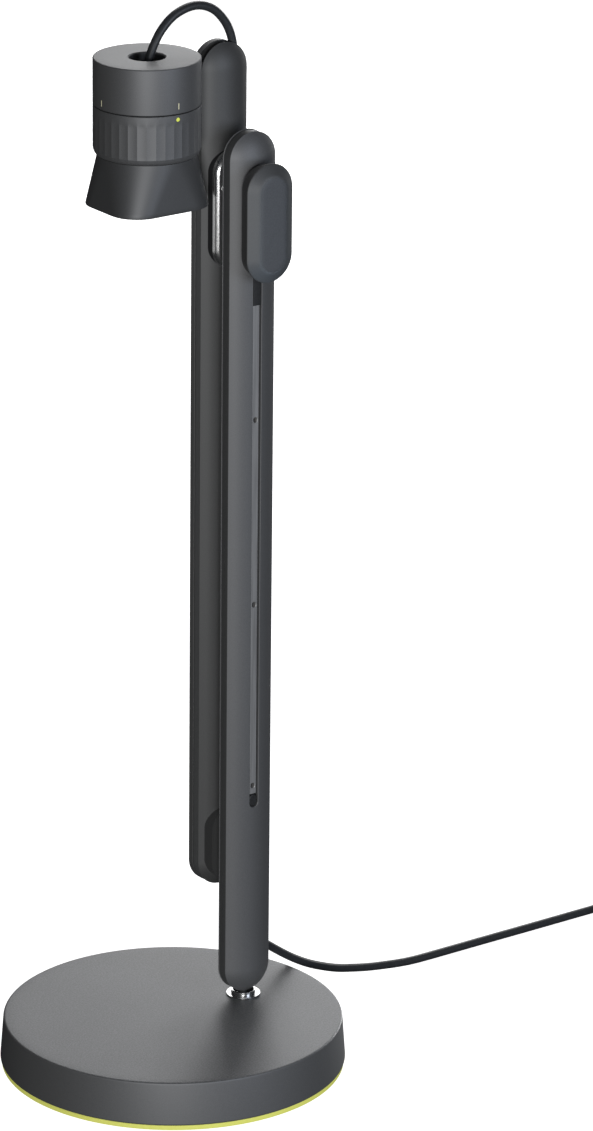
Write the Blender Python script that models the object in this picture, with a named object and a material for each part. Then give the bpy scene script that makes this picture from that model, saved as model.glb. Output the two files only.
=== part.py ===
"""Desk-stand webcam: a weighted round base, an upright post, a carriage that slides on the post, an arm that
turns and slides on the carriage, and a downward-looking camera at the arm's tip.

Sizes below are millimetres and become metres where a mesh is made. X is to the right, -Y is the side of the
grip, +Z is up. The origin is the centre of the foot pad's underside.
"""

import math

import bmesh
import bpy
from mathutils import Vector

MM = 0.001
GAP = 0.3

# Base
BASE_TOP_R = 80.9
BASE_FOOT_R = 82.5
BASE_Z = (2.5, 23.6)
BASE_WALL = 2.2
PAD_R = 81.8
PAD_THICK = 2.2

# Post: a stadium seen from the front, with a flat side band and a crowned front and back
POST_X = 41.25
STAD_HALF_W = 12.8
CROWN = 4.95
CROWN_EDGE = 0.35
POST_BAND = 2.85
POST_Z = (26.5, 453.5)
POST_SLOT_Z = (122.5, 436.0)
SLOT_HALF_W = 2.4
SPINE_INSET = 0.3
SPINE_WALL = 2.2
SPINDLE_R = 4.5
COLLAR_R = 8.66
COLLAR_NECK_R = 5.95
GLAND_AT = (52.0, 4.4, 45.3)
GLAND_WAY = (0.74, 0.62, -0.26)

# Arm: the same stadium behind the post, with a dark spine between its two covers
ARM_Z = (74.5, 490.7)
ARM_FRONT_EDGE = 20.0
ARM_REAR_FACE = 24.6
ARM_REAR_EDGE = 27.8
ARM_SLOT_Z = (122.0, 442.0)
ARM_GROOVE_Z = 462.0
INLAY_Z = (79.5, 116.0)
INLAY_HALF_W = 10.4

# Carriage, grip and coupler, all about the same middle height
CARRIAGE_Z = 413.0
GRIP_HALF_W = 12.75
GRIP_HALF_H = 28.3
GRIP_BACK_Y = -9.3
GRIP_RIM_Y = -16.6
GRIP_FACE_Y = -19.9
GRIP_CHAMFER = 5.2
TURN_Z = 423.5
PLATE_HALF_W = 11.0
PLATE_HALF_H = 29.0
PLATE_Y = (9.7, 13.8)
BOSS_R = 7.7

# Arm tip and camera head
TIP_Z = ARM_Z[1] - STAD_HALF_W
TIP_PIN_R = 2.5
HEAD_X = 0.68
HEAD_Y = 23.7
HEAD_R = 24.9
HEAD_TOP_Z = 489.0
SEAM_Z = 467.4
RING_Z = (444.7, 467.1)
RING_FLUTES = 36
HOOD_TOP_R = 22.6
HOOD_Z = (419.5, 444.4)
HOOD_HALF_X = 25.4
HOOD_HALF_Y = 21.0
HOOD_CORNER = 14.0
HOOD_WALL = 1.4
WELL_R = 8.6

# Cables
CABLE_D = 4.1
COIL_CENTRE = (307.0, -1.4)
COIL_MID_R = 22.5
COIL_BUNDLE = 12.3
USB_ROUTE = [
    (57.25, 8.8, 43.4),
    (60.4, 10.7, 41.9),
    (65.2, 12.2, 38.5),
    (73.0, 15.0, 32.8),
    (83.5, 18.0, 25.6),
    (94.1, 20.0, 19.4),
    (104.4, 21.6, 14.6),
    (114.6, 22.8, 10.7),
    (124.6, 23.7, 8.0),
    (134.2, 24.2, 5.9),
    (144.0, 24.6, 4.3),
    (154.0, 24.8, 3.0),
    (164.0, 24.9, 2.3),
    (178.0, 24.9, 2.2),
    (204.0, 25.0, 2.2),
    (236.0, 25.0, 2.2),
    (268.0, 25.1, 2.2),
    (291.0, 25.2, 2.2),
]
LOOP_ROUTE = [
    (0.7, 23.7, 477.4),
    (0.9, 23.7, 484.0),
    (3.4, 23.7, 491.7),
    (8.3, 23.5, 500.0),
    (16.0, 23.3, 506.5),
    (26.5, 23.0, 509.3),
    (36.0, 22.7, 506.7),
    (42.8, 22.5, 500.2),
    (46.4, 22.4, 493.2),
    (47.9, 22.4, 486.0),
    (48.0, 22.4, 476.0),
    (48.0, 22.4, 462.4),
]


# ---------------------------------------------------------------- helpers


def clear_scene():
    """Remove every object, so that the script can be run again."""
    for obj in list(bpy.data.objects):
        bpy.data.objects.remove(obj, do_unlink=True)


def finish(name, colour, rough, metal=0.0):
    """A plain finish: a Principled material in one colour."""
    mat = bpy.data.materials.new(name)
    mat.use_nodes = True
    shader = mat.node_tree.nodes["Principled BSDF"]
    shader.inputs["Base Color"].default_value = (*colour, 1.0)
    shader.inputs["Roughness"].default_value = rough
    shader.inputs["Metallic"].default_value = metal
    return mat


def solid(name, verts, faces, mat, axis=None):
    """A named object from millimetre points and face loops, under the empty of its joint's axis."""
    bm = bmesh.new()
    made = [bm.verts.new(Vector(v) * MM) for v in verts]
    for face in faces:
        bm.faces.new([made[i] for i in face])
    bmesh.ops.recalc_face_normals(bm, faces=bm.faces)
    mesh = bpy.data.meshes.new(name)
    bm.to_mesh(mesh)
    bm.free()
    mesh.shade_smooth()
    mesh.set_sharp_from_angle(angle=math.radians(30))
    mesh.materials.append(mat)
    obj = bpy.data.objects.new(name, mesh)
    bpy.context.scene.collection.objects.link(obj)
    hang(obj, axis)
    return obj


def hang(obj, axis):
    """Parent an object to an axis empty without moving it."""
    if axis is not None:
        obj.parent = axis
        obj.matrix_parent_inverse = axis.matrix_world.inverted()


def axis_empty(name, x, y, z, parent=None):
    """An empty on a joint's axis."""
    obj = bpy.data.objects.new(name, None)
    obj.location = Vector((x, y, z)) * MM
    bpy.context.scene.collection.objects.link(obj)
    bpy.context.view_layer.update()
    hang(obj, parent)
    bpy.context.view_layer.update()
    return obj


def loft(rings, ends=(True, True)):
    """Points and faces of a skin through rings of equal length, with its two ends closed.

    With ends False, the last ring joins the first, as in a tube's wall."""
    count = len(rings[0])
    verts = [p for ring in rings for p in ring]
    faces = []
    last = len(rings) if not any(ends) else len(rings) - 1
    for k in range(last):
        a = k * count
        b = (k + 1) % len(rings) * count
        for i in range(count):
            j = (i + 1) % count
            faces.append((a + i, a + j, b + j, b + i))
    if ends[0]:
        faces.append(tuple(range(count))[::-1])
    if ends[1]:
        faces.append(tuple(range(len(verts) - count, len(verts))))
    return verts, faces


def stadium(cx, cz, half_w, half_h, y, segs=16):
    """A stadium outline in a plane across Y; its long axis is Z."""
    straight = half_h - half_w
    points = []
    for end, start in ((1, 0.0), (-1, math.pi)):
        for i in range(segs + 1):
            t = start + math.pi * i / segs
            points.append((cx + half_w * math.cos(t), y, cz + end * straight + half_w * math.sin(t)))
    return points


def circle(cx, cy, r, z, segs=40):
    """A circle across Z."""
    step = 2 * math.pi / segs
    return [(cx + r * math.cos(i * step), cy + r * math.sin(i * step), z) for i in range(segs)]


def circle_y(cx, cz, r, y, segs=24):
    """A circle across Y."""
    step = 2 * math.pi / segs
    return [(cx + r * math.cos(i * step), y, cz + r * math.sin(i * step)) for i in range(segs)]


def turned(name, cx, cy, profile, mat, axis=None, segs=40, hollow=False):
    """A body of revolution about a vertical axis, from (radius, height) pairs."""
    rings = [circle(cx, cy, r, z, segs) for r, z in profile]
    return solid(name, *loft(rings, (not hollow, not hollow)), mat, axis)


def turned_y(name, cx, cz, profile, mat, axis=None, segs=24, hollow=False):
    """A body of revolution about an axis along Y, from (radius, y) pairs."""
    rings = [circle_y(cx, cz, r, y, segs) for r, y in profile]
    return solid(name, *loft(rings, (not hollow, not hollow)), mat, axis)


def box(name, low, high, mat, axis=None):
    """A plain block between two corners."""
    (x0, y0, z0), (x1, y1, z1) = low, high
    rings = [[(x0, y0, z), (x1, y0, z), (x1, y1, z), (x0, y1, z)] for z in (z0, z1)]
    return solid(name, *loft(rings), mat, axis)


def prism(name, outline, z0, z1, mat, axis=None):
    """An outline across Z, carried from one height to another."""
    rings = [[(x, y, z) for x, y in outline] for z in (z0, z1)]
    return solid(name, *loft(rings), mat, axis)


def cut(obj, cutter):
    """Take a hidden cutter away from an object."""
    cutter.hide_render = True
    cutter.display_type = "WIRE"
    mod = obj.modifiers.new("cut_" + cutter.name, "BOOLEAN")
    mod.operation = "DIFFERENCE"
    mod.object = cutter


def slot_cutter(name, z, half_w, y0, y1, mat):
    """A cutter for a round-ended slot between two heights."""
    middle = sum(z) / 2
    rings = [stadium(POST_X, middle, half_w, (z[1] - z[0]) / 2, y, 8) for y in (y0, y1)]
    return solid(name, *loft(rings), mat)


def crown_rise(off_axis):
    """How far the crown stands out of its edge plane at a distance from its middle line."""
    radius = (STAD_HALF_W**2 + CROWN**2) / (2 * CROWN)
    return math.sqrt(radius**2 - off_axis**2) - (radius - CROWN)


def crowned(name, z, edge_y, back_y, out, mat, axis=None):
    """A stadium cover: a flat back, a straight edge and a crown that stands out along out (-1 or 1)."""
    middle = sum(z) / 2
    half_h = (z[1] - z[0]) / 2

    def ring(half_w, y):
        return stadium(POST_X, middle, half_w, half_h - STAD_HALF_W + half_w, y)

    rings = [ring(STAD_HALF_W, back_y), ring(STAD_HALF_W, edge_y)]
    for share in (0.93, 0.82, 0.68, 0.52, 0.34, 0.14):
        half_w = STAD_HALF_W * share
        rings.append(ring(half_w, edge_y + out * crown_rise(half_w)))
    return solid(name, *loft(rings), mat, axis)


def racetrack(name, z, inset, wall, y0, y1, mat, axis=None):
    """A stadium band: a closed frame with a stadium hole."""
    middle = sum(z) / 2
    half_h = (z[1] - z[0]) / 2
    rings = []
    for depth, y in ((inset, y0), (inset, y1), (inset + wall, y1), (inset + wall, y0)):
        rings.append(stadium(POST_X, middle, STAD_HALF_W - depth, half_h - depth, y))
    return solid(name, *loft(rings, (False, False)), mat, axis)


def smooth_route(points, step):
    """Even points on a smooth curve through a route's own points (a Catmull-Rom curve)."""
    p = [Vector(q) for q in points]
    p = [2 * p[0] - p[1]] + p + [2 * p[-1] - p[-2]]
    fine = []
    for k in range(1, len(p) - 2):
        for i in range(24):
            t = i / 24
            fine.append(
                0.5
                * (
                    2 * p[k]
                    + (p[k + 1] - p[k - 1]) * t
                    + (2 * p[k - 1] - 5 * p[k] + 4 * p[k + 1] - p[k + 2]) * t * t
                    + (3 * p[k] - p[k - 1] - 3 * p[k + 1] + p[k + 2]) * t**3
                )
            )
    fine.append(p[-2])
    total = sum((b - a).length for a, b in zip(fine, fine[1:]))
    count = max(3, round(total / step))
    even = [fine[0]]
    run = 0.0
    for a, b in zip(fine, fine[1:]):
        length = (b - a).length
        while len(even) < count and run + length >= total * len(even) / count:
            even.append(a.lerp(b, (total * len(even) / count - run) / length))
        run += length
    even.append(fine[-1])
    return even


def tube(name, route, diameter, mat, axis=None, step=9.0):
    """A round cable along a route, as a bevelled curve with closed ends."""
    points = smooth_route(route, step)
    curve = bpy.data.curves.new(name, "CURVE")
    curve.dimensions = "3D"
    curve.bevel_depth = diameter / 2 * MM
    curve.bevel_resolution = 3
    curve.use_fill_caps = True
    spline = curve.splines.new("POLY")
    spline.points.add(len(points) - 1)
    for slot, point in zip(spline.points, points):
        slot.co = (*(point * MM), 1.0)
    curve.materials.append(mat)
    obj = bpy.data.objects.new(name, curve)
    bpy.context.scene.collection.objects.link(obj)
    hang(obj, axis)
    return obj


# ---------------------------------------------------------------- base


def make_base(paint, steel, rubber, bearing):
    """Foot pad, floor plate with its screws, steel weight, cover and the swivel's bush."""
    turned("foot_pad", 0, 0, [(PAD_R, 0), (PAD_R, PAD_THICK)], rubber, segs=72)
    z0, z1 = BASE_Z
    inner = BASE_FOOT_R - BASE_WALL - 0.6
    cover = turned(
        "base_cover",
        0,
        0,
        [
            (inner - 1.6, z1 - BASE_WALL),
            (inner, z0),
            (BASE_FOOT_R, z0),
            (BASE_FOOT_R, z0 + 0.6),
            (BASE_TOP_R, z1 - 0.7),
            (BASE_TOP_R - 0.8, z1),
        ],
        paint,
        segs=72,
    )
    cut(cover, turned("cut_spindle", POST_X, 0, [(5.6, 12), (5.6, 30)], paint, segs=32))
    plate_top = z0 + 2.0
    plate = turned("base_plate", 0, 0, [(inner - GAP, z0), (inner - GAP, plate_top)], steel, segs=48)
    weight_r = inner - 4.0
    weight = turned(
        "base_weight", 0, 0, [(weight_r, plate_top + GAP), (weight_r, z1 - BASE_WALL - GAP)], steel, segs=48
    )
    cut(weight, turned("cut_bush", POST_X, 0, [(10.3, 0), (10.3, 30)], steel, segs=24))
    bush = [(5.0, 9.0), (10.0, 9.0), (10.0, 19.0), (5.0, 19.0)]
    turned("swivel_bush", POST_X, 0, bush, bearing, segs=24, hollow=True)
    for k in range(4):
        angle = math.radians(45 + 90 * k)
        x = 62.0 * math.cos(angle)
        y = 62.0 * math.sin(angle)
        shank = [(1.6, 12.0), (1.6, z0 + 1.3), (3.0, z0 + 1.3), (3.0, z0 + 0.1)]
        room = [(1.9, 12.3), (1.9, z0 + 1.6), (3.3, z0 + 1.6), (3.3, z0 - 1.0)]
        turned(f"base_screw_{k + 1}", x, y, shank, steel, segs=12)
        hole = turned(f"cut_screw_{k + 1}", x, y, room, steel, segs=12)
        cut(plate, hole)
        cut(weight, hole)


# ---------------------------------------------------------------- post


def make_post(axis, paint, dark, steel, chrome, rubber):
    """Spindle, chrome collar, spine band, crowned covers, guide rail, its stops and the cable gland."""
    spindle = [(3.2, 6.0), (SPINDLE_R + 1.5, 6.0), (SPINDLE_R + 1.5, 8.5), (SPINDLE_R, 8.5)]
    spindle += [(SPINDLE_R, 21.0), (1.9, 22.5), (1.9, 44.0)]
    turned("post_spindle", POST_X, 0, spindle, steel, axis, segs=20)
    z0 = BASE_Z[1] + 0.2
    neck = COLLAR_NECK_R
    collar = [(5.0, z0), (COLLAR_R, z0), (COLLAR_R, z0 + 0.5), (COLLAR_R - 0.3, z0 + 0.75)]
    collar += [(neck + 0.7, z0 + 1.0), (neck, z0 + 1.5), (neck, z0 + 2.3), (5.0, z0 + 2.3)]
    turned("pivot_collar", POST_X, 0, collar, chrome, axis, segs=32, hollow=True)

    spine_y = POST_BAND - CROWN_EDGE - GAP
    spine = racetrack("post_spine", POST_Z, SPINE_INSET, SPINE_WALL, -spine_y, spine_y, dark, axis)
    cut(spine, turned("cut_post_foot", POST_X, 0, [(2.2, 20), (2.2, 34)], dark, segs=16))
    bore = solid("cut_gland", *loft(gland_rings([(-4.0, 1.9), (4.0, 1.9)])), dark)
    cut(spine, bore)

    back = POST_BAND - CROWN_EDGE
    front = crowned("post_front_cover", POST_Z, -POST_BAND, -back, -1, paint, axis)
    cut(front, slot_cutter("cut_front_slot", POST_SLOT_Z, SLOT_HALF_W, -12, 0, paint))
    rear = crowned("post_rear_cover", POST_Z, POST_BAND, back, 1, paint, axis)
    cut(rear, slot_cutter("cut_rear_slot", (112.0, 432.0), 4.4, 0, 12, paint))
    cut(rear, bore)

    foot = [(-9.3, -2.0), (9.3, -2.0), (9.3, 2.0), (-9.3, 2.0)]
    block = prism("post_foot_block", [(POST_X + x, y) for x, y in foot], 40.0, 54.0, steel, axis)
    cut(block, turned("cut_block", POST_X, 0, [(2.2, 30), (2.2, 46)], steel, segs=16))

    low, high = POST_SLOT_Z
    for name, z in (("lower_stop", low + 3.3), ("upper_stop", high - 3.3)):
        rings = [stadium(POST_X, z, SLOT_HALF_W - GAP, 3.0, y, 8) for y in (-7.0, -2.9)]
        solid(name, *loft(rings), rubber, axis)
    rail = box(
        "guide_rail",
        (POST_X - 1.3, -6.2, low + 6.6),
        (POST_X + 1.3, -4.2, high - 6.6),
        steel,
        axis,
    )
    for k in range(3):
        z = 133.1 + 91.25 * k
        rings = [stadium(POST_X, z, 0.65, 1.3, y, 4) for y in (-8, -5.2)]
        cut(rail, solid(f"cut_rail_{k}", *loft(rings), steel))

    gland = [(-1.6, 1.6), (2.1, 1.6), (2.1, 2.6), (4.6, 2.45), (6.4, 2.2)]
    solid("cable_gland", *loft(gland_rings(gland)), rubber, axis)


def ring_angles(segs):
    """Even angles round a circle."""
    return [2 * math.pi * i / segs for i in range(segs)]


def gland_rings(profile):
    """Circles about the slanted line on which the cable leaves the post, from distances along it and radii."""
    at = Vector(GLAND_AT)
    way = Vector(GLAND_WAY).normalized()
    side = way.cross(Vector((0, 0, 1))).normalized()
    up = side.cross(way)
    rings = []
    for along, r in profile:
        ring = [at + way * along + side * (r * math.cos(t)) + up * (r * math.sin(t)) for t in ring_angles(16)]
        rings.append([tuple(p) for p in ring])
    return rings


# ---------------------------------------------------------------- carriage


def make_carriage(axis, paint, dark, rubber, steel, chrome, bearing):
    """The block inside the post, its glides, the neck through the slot, the grip and the turning spindle."""
    plan = [(-9.6, -2.0), (9.6, -2.0), (9.6, 2.0), (-9.6, 2.0)]
    plan = [(POST_X + x, y) for x, y in plan]
    block = prism("carriage_block", plan, 389.0, 437.0, steel, axis)
    prism("glide_upper", plan, 437.3, 440.3, bearing, axis)
    prism("glide_lower", plan, 385.7, 388.7, bearing, axis)
    bolt = [(1.7, -1.6), (1.7, 2.4), (4.0, 2.4), (4.0, 8.15), (BOSS_R, 8.15), (BOSS_R, 9.0), (BOSS_R - 0.4, 9.4)]
    bolt += [(3.0, 9.4), (3.0, 14.2)]
    turned_y("coupler_spindle", POST_X, TURN_Z, bolt, chrome, axis)
    room = [(2.0, -1.8), (2.0, 3.0)]
    cut(block, turned_y("cut_bolt", POST_X, TURN_Z, room, steel, segs=16))

    neck = [(-2.1, -7.4), (2.1, -7.4), (2.1, -2.3), (1.6, -2.3), (1.6, -6.6), (-1.6, -6.6), (-1.6, -2.3)]
    neck.append((-2.1, -2.3))
    prism("carriage_neck", [(POST_X + x, y) for x, y in neck], 371.5, 428.0, dark, axis)

    grip_rings = []
    for inset, y in (
        (10.85, -7.7),
        (10.85, GRIP_BACK_Y),
        (2.0, GRIP_BACK_Y),
        (0.3, GRIP_RIM_Y + 1.2),
        (0.0, GRIP_RIM_Y + 0.6),
        (0.0, GRIP_RIM_Y),
        (GRIP_CHAMFER - 0.5, GRIP_FACE_Y + 0.2),
        (GRIP_CHAMFER + 0.2, GRIP_FACE_Y),
        (GRIP_CHAMFER + 0.5, GRIP_FACE_Y),
        (GRIP_CHAMFER + 0.5, GRIP_FACE_Y + 1.4),
    ):
        grip_rings.append(stadium(POST_X, CARRIAGE_Z, GRIP_HALF_W - inset, GRIP_HALF_H - inset, y, 16))
    solid("grip_handle", *loft(grip_rings), paint, axis)
    inset = GRIP_CHAMFER + 0.8
    pad_rings = []
    for more, y in ((0.0, GRIP_FACE_Y + 1.1), (0.0, GRIP_FACE_Y), (0.4, GRIP_FACE_Y - 0.2)):
        size = inset + more
        pad_rings.append(stadium(POST_X, CARRIAGE_Z, GRIP_HALF_W - size, GRIP_HALF_H - size, y, 16))
    solid("grip_pad", *loft(pad_rings), rubber, axis)


# ---------------------------------------------------------------- coupler


def make_coupler(axis, chrome, dark, bearing):
    """The chrome plate, the black saddle that rides on the arm's crown and the shoe in the arm's slot."""
    y0, y1 = PLATE_Y
    rings = []
    for inset, y in ((0.6, y0), (0.0, y0 + 0.5), (0.0, y1 - 0.5), (0.6, y1)):
        rings.append(stadium(POST_X, CARRIAGE_Z, PLATE_HALF_W - inset, PLATE_HALF_H - inset, y, 20))
    plate = solid("coupler_plate", *loft(rings), chrome, axis)
    bore = turned_y("cut_plate_bore", POST_X, TURN_Z, [(3.3, 0), (3.3, 20)], chrome, segs=24)
    cut(plate, bore)

    saddle_y = y1 + GAP
    rings = [stadium(POST_X, CARRIAGE_Z, 10.3, 28.3, y, 20) for y in (saddle_y, ARM_FRONT_EDGE)]
    saddle = solid("arm_saddle", *loft(rings), dark, axis)
    outline = [(POST_X + 16, ARM_FRONT_EDGE + 8), (POST_X - 16, ARM_FRONT_EDGE + 8)]
    for i in range(-12, 13):
        x = STAD_HALF_W * i / 12
        outline.append((POST_X + x, ARM_FRONT_EDGE - crown_rise(x) - GAP))
    cut(saddle, prism("cut_arm_crown", outline, 370.0, 460.0, dark))
    cut(saddle, bore)

    shoe = shoe_shape()
    solid("arm_shoe", *shoe, bearing, axis)


def shoe_shape():
    """A T-shaped shoe: a thin neck in the arm's slot and a wide foot in the arm's hollow."""
    neck_y = 15.6
    foot_y = 20.6
    plan = [(-2.1, neck_y), (2.1, neck_y), (2.1, foot_y), (9.6, foot_y), (9.6, 24.2), (-9.6, 24.2)]
    plan += [(-9.6, foot_y), (-2.1, foot_y)]
    rings = [[(POST_X + x, y, z) for x, y in plan] for z in (390.0, 436.0)]
    return loft(rings)


# ---------------------------------------------------------------- arm


def make_arm(axis, paint, dark, rubber, steel):
    """Front cover with its slot, dark spine open at the tip, rear cover, end inlay and the tip's pin."""
    front_face = ARM_FRONT_EDGE + 0.2
    front = crowned("arm_front_cover", ARM_Z, ARM_FRONT_EDGE, front_face, -1, paint, axis)
    cut(front, slot_cutter("cut_arm_slot", ARM_SLOT_Z, SLOT_HALF_W, 10, 22, paint))
    rear = crowned("arm_rear_cover", ARM_Z, ARM_REAR_EDGE, ARM_REAR_FACE, 1, paint, axis)
    socket = turned_y("cut_pin", POST_X, TIP_Z, [(TIP_PIN_R + GAP, 16.9), (TIP_PIN_R + GAP, 27.6)], steel)
    cut(front, socket)
    cut(rear, socket)
    turned_y("tip_pin", POST_X, TIP_Z, [(TIP_PIN_R, 17.2), (TIP_PIN_R, 27.3)], steel, axis)

    spine_z = (ARM_Z[0], ARM_Z[1])
    y0 = front_face + GAP
    y1 = ARM_REAR_FACE - GAP
    middle = sum(spine_z) / 2
    half_h = (spine_z[1] - spine_z[0]) / 2 - SPINE_INSET
    rings = [stadium(POST_X, middle, STAD_HALF_W - SPINE_INSET, half_h, y) for y in (y0, y1)]
    spine = solid("arm_spine", *loft(rings), dark, axis)
    cut(spine, slot_cutter("cut_arm_hollow", (112.0, 450.0), STAD_HALF_W - SPINE_INSET - SPINE_WALL, 15, 30, dark))
    cut(spine, box("cut_groove", (POST_X - 20, 15, ARM_GROOVE_Z), (POST_X + 20, 30, 500), dark))

    z0, z1 = INLAY_Z
    rings = [stadium(POST_X, (z0 + z1) / 2, INLAY_HALF_W, (z1 - z0) / 2, y, 20) for y in (13, 20)]
    inlay_room = solid("cut_inlay", *loft(rings), rubber)
    cut(front, inlay_room)
    make_inlay(axis, rubber, (z0 + GAP, z1 - GAP))


def make_inlay(axis, rubber, z):
    """The dark oval let into the arm's lower end, flush with the crown."""
    middle = sum(z) / 2
    half_h = (z[1] - z[0]) / 2
    full = INLAY_HALF_W - GAP
    rings = [stadium(POST_X, middle, full, half_h, 19.7)]
    for share in (1.0, 0.82, 0.62, 0.4, 0.16):
        half_w = full * share
        y = ARM_FRONT_EDGE - crown_rise(half_w)
        rings.append(stadium(POST_X, middle, half_w, half_h - full + half_w, y))
    solid("arm_end_inlay", *loft(rings), rubber, axis)


# ---------------------------------------------------------------- camera


def make_bracket(axis, steel):
    """A flat tongue: an eye round the tip pin, and a foot beside the camera's housing."""
    y0, y1 = 20.6, 24.2
    eye = 4.3
    left = HEAD_X + HEAD_R + GAP
    points = [(left, TIP_Z + eye), (left, TIP_Z - eye)]
    for i in range(13):
        t = -math.pi / 2 + math.pi * i / 12
        points.append((POST_X + eye * math.cos(t), TIP_Z + eye * math.sin(t)))
    rings = [[(x, y, z) for x, z in points] for y in (y0, y1)]
    tongue = solid("camera_bracket", *loft(rings), steel, axis)
    hole = turned_y("cut_eye", POST_X, TIP_Z, [(TIP_PIN_R + 0.05, 10), (TIP_PIN_R + 0.05, 30)], steel)
    cut(tongue, hole)


def make_camera(axis, paint, rubber):
    """The upper housing with its round well for the cable, and the grommet in it."""
    seam = SEAM_Z
    top = HEAD_TOP_Z
    inner = HEAD_R - 2.0
    profile = [(12.0, top - 10.5), (12.0, top - 2.0), (inner, top - 2.0), (inner, seam), (HEAD_R, seam)]
    profile += [(HEAD_R, top - 0.5), (HEAD_R - 0.5, top)]
    housing = turned("camera_housing", HEAD_X, HEAD_Y, profile, paint, axis, segs=48)
    cut(housing, turned("cut_well", HEAD_X, HEAD_Y, [(WELL_R, top - 9.0), (WELL_R, top + 2.0)], paint))
    cut(housing, turned("cut_lead_hole", HEAD_X, HEAD_Y, [(3.6, 470), (3.6, 484)], paint, segs=24))
    grommet = [(2.4, 477.0), (3.3, 477.0), (3.3, 480.4), (5.0, 480.4), (4.4, 482.0), (2.4, 482.0)]
    turned("cable_grommet", HEAD_X, HEAD_Y, grommet, rubber, axis, segs=24, hollow=True)


def make_ring(axis, paint, accent):
    """The fluted turning ring under the housing, and its index dot."""
    z0, z1 = RING_Z
    steps = 2
    count = RING_FLUTES * steps

    def fluted(r, z, depth):
        points = []
        for i in range(count):
            t = 2 * math.pi * i / count
            wave = math.sin(math.pi * (i % steps) / steps) * depth
            points.append((HEAD_X + (r - wave) * math.cos(t), HEAD_Y + (r - wave) * math.sin(t), z))
        return points

    rings = [
        fluted(HEAD_R - 3.4, z0 + 0.3, 0),
        fluted(HEAD_R - 2.3, z0, 0),
        fluted(HEAD_R - 1.0, z0 + 0.8, 0.1),
        fluted(HEAD_R, z0 + 3.0, 0.45),
        fluted(HEAD_R, z1 - 4.4, 0.45),
        fluted(HEAD_R, z1 - 3.2, 0),
        fluted(HEAD_R, z1 - 0.3, 0),
        fluted(HEAD_R - 0.4, z1, 0),
        fluted(HEAD_R - 3.4, z1, 0),
    ]
    ring = solid("lens_ring", *loft(rings, (False, False)), paint, axis)
    dot = turned_y("index_dot", HEAD_X, 464.9, [(0.95, HEAD_Y - HEAD_R), (0.95, HEAD_Y - HEAD_R + 0.8)], accent, axis)
    room = turned_y(
        "cut_dot", HEAD_X, 464.9, [(1.1, HEAD_Y - HEAD_R - 1), (1.1, HEAD_Y - HEAD_R + 1.1)], accent, segs=24
    )
    cut(ring, room)
    return dot


def rounded(half_x, half_y, corner, z, segs=8):
    """A rounded rectangle across Z about the head's axis, starting at its +X side."""
    points = []
    for sx, sy, start in ((1, 1, 0), (-1, 1, 90), (-1, -1, 180), (1, -1, 270)):
        for i in range(segs + 1):
            t = math.radians(start + 90 * i / segs)
            x = HEAD_X + sx * (half_x - corner) + corner * math.cos(t)
            y = HEAD_Y + sy * (half_y - corner) + corner * math.sin(t)
            points.append((x, y, z))
    return points


def hood_ring(share, inset, z):
    """The hood's outline at a share of the way from its round neck to its mouth."""
    half_x = HOOD_TOP_R + (HOOD_HALF_X - HOOD_TOP_R) * share - inset
    half_y = HOOD_TOP_R + (HOOD_HALF_Y - HOOD_TOP_R) * share - inset
    corner = HOOD_TOP_R + (HOOD_CORNER - HOOD_TOP_R) * share - inset
    return rounded(half_x, half_y, min(corner, half_x - 0.01, half_y - 0.01), z)


def make_lens(axis, paint, dark, glass, board):
    """Hood, lens barrel, front glass, sensor board and its chip."""
    z0, z1 = HOOD_Z
    shares = [0.0, 0.5, 1.0]
    outside = [hood_ring(s, 0.0, z1 + (z0 - z1) * s) for s in shares]
    inside = [hood_ring(s, HOOD_WALL, z1 + (z0 - z1) * s) for s in shares]
    solid("lens_hood", *loft(outside + inside[::-1], (False, False)), paint, axis)
    barrel = [(9.0, 441.5), (13.5, 441.5), (20.9, 447.0), (20.9, 452.0), (13.0, 452.0), (13.0, 464.0), (9.0, 464.0)]
    turned("lens_barrel", HEAD_X, HEAD_Y, barrel, dark, axis, hollow=True)
    lens = [(8.7, 443.8), (8.7, 446.0)]
    turned("lens_glass", HEAD_X, HEAD_Y, [(3.0, 443.0), (6.5, 443.3)] + lens, glass, axis, segs=32)
    turned("sensor_board", HEAD_X, HEAD_Y, [(18.0, 464.4), (18.0, 466.0)], board, axis, segs=32)
    rings = [(HEAD_X - 4, HEAD_Y - 4, 462.6), (HEAD_X + 4, HEAD_Y + 4, 464.1)]
    box("image_sensor", *rings, dark, axis)


# ---------------------------------------------------------------- cables


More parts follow.
